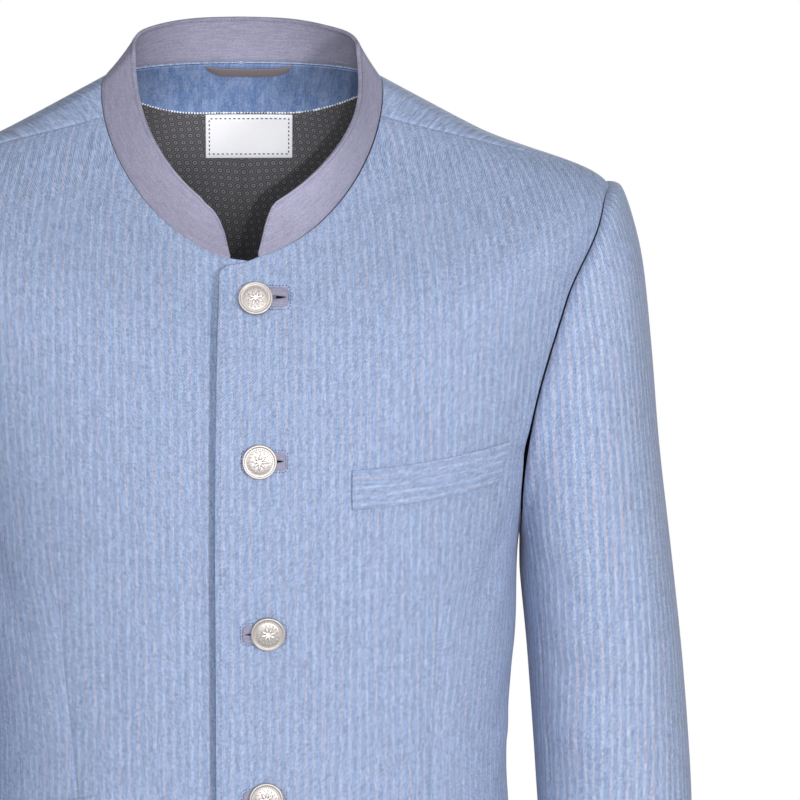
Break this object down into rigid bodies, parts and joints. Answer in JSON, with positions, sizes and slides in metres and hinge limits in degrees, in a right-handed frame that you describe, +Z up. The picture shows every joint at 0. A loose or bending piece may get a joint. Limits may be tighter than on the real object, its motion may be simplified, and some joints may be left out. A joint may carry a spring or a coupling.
{
  "type": "trachten jacket",
  "caption": "Man's trachten jacket in its worn form, hollow and open at neck, hem and cuffs: stand collar, metal buttons in bound buttonholes, chest welt and hip flaps.",
  "frame": {"origin": "midway between the two neck ends of the shoulder seams, where the jacket rests on the wearer", "axes": "+X to the wearer's left, +Y to the wearer's back, +Z up"},
  "size_m": [0.5846, 0.2722, 0.7881],
  "materials": {
    "body_cloth": "fine twill, blue with slubbed cream stripes, matt",
    "sleeve_cloth": "the same striped twill, matt",
    "pocket_cloth": "the same striped twill laid across, matt",
    "collar_cloth": "mauve-grey slubbed cloth, matt",
    "facing_cloth": "plain blue twill, matt",
    "lining_satin": "dark grey satin with a small ring repeat, soft sheen",
    "label_satin": "white woven satin, soft sheen",
    "loop_tape": "grey-brown satin tape, soft sheen",
    "buttonhole_cloth": "mauve-grey slubbed cloth, matt",
    "button_metal": "old silver, worn bright on the raised parts"
  },
  "bodies": {
    "root": {"front_left": "body_cloth", "back_left": "body_cloth", "top_sleeve_left": "sleeve_cloth", "under_sleeve_left": "sleeve_cloth", "lining_left": "lining_satin", "hip_flap_left": "pocket_cloth", "front_right": "body_cloth", "back_right": "body_cloth", "top_sleeve_right": "sleeve_cloth", "under_sleeve_right": "sleeve_cloth", "lining_right": "lining_satin", "hip_flap_right": "pocket_cloth", "collar": "collar_cloth", "neck_facing": "facing_cloth", "hanger_loop": "loop_tape", "label": "label_satin", "chest_welt": "pocket_cloth", "buttonhole_1": "buttonhole_cloth", "button_1": "button_metal", "buttonhole_2": "buttonhole_cloth", "button_2": "button_metal", "buttonhole_3": "buttonhole_cloth", "button_3": "button_metal", "buttonhole_4": "buttonhole_cloth", "button_4": "button_metal", "buttonhole_5": "buttonhole_cloth", "button_5": "button_metal"}
  },
  "joints": []
}
